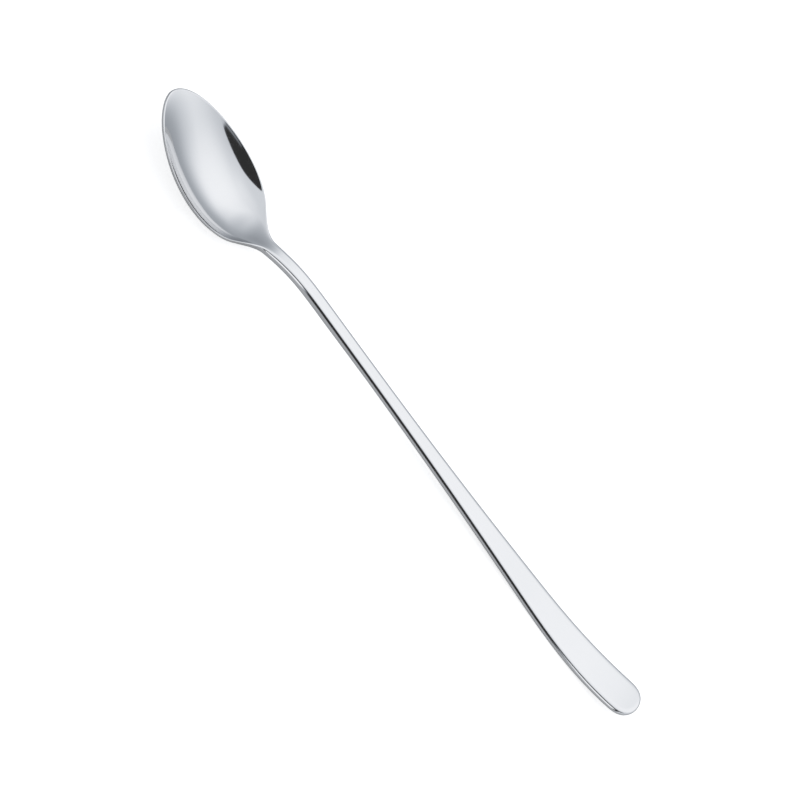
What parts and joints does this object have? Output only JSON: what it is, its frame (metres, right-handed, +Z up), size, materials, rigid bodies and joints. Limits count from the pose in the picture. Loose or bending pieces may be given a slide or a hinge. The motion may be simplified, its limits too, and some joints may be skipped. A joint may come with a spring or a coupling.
{
  "type": "iced tea spoon",
  "caption": "Long plain table spoon of polished steel with a small pointed oval bowl, a slim flat stem and a wider grip with a rounded, turned-up end, for stirring and sipping in a tall glass.",
  "frame": {"origin": "on the surface the spoon lies on, under the middle of its length and width", "axes": "+X along the spoon from the bowl towards the end of the handle, +Y across it, +Z up out of the bowl's hollow"},
  "size_m": [0.2, 0.0256, 0.0126],
  "materials": {
    "polished_steel": "mirror-polished stainless steel"
  },
  "bodies": {
    "root": {"bowl": "polished_steel", "handle": "polished_steel"}
  },
  "joints": []
}
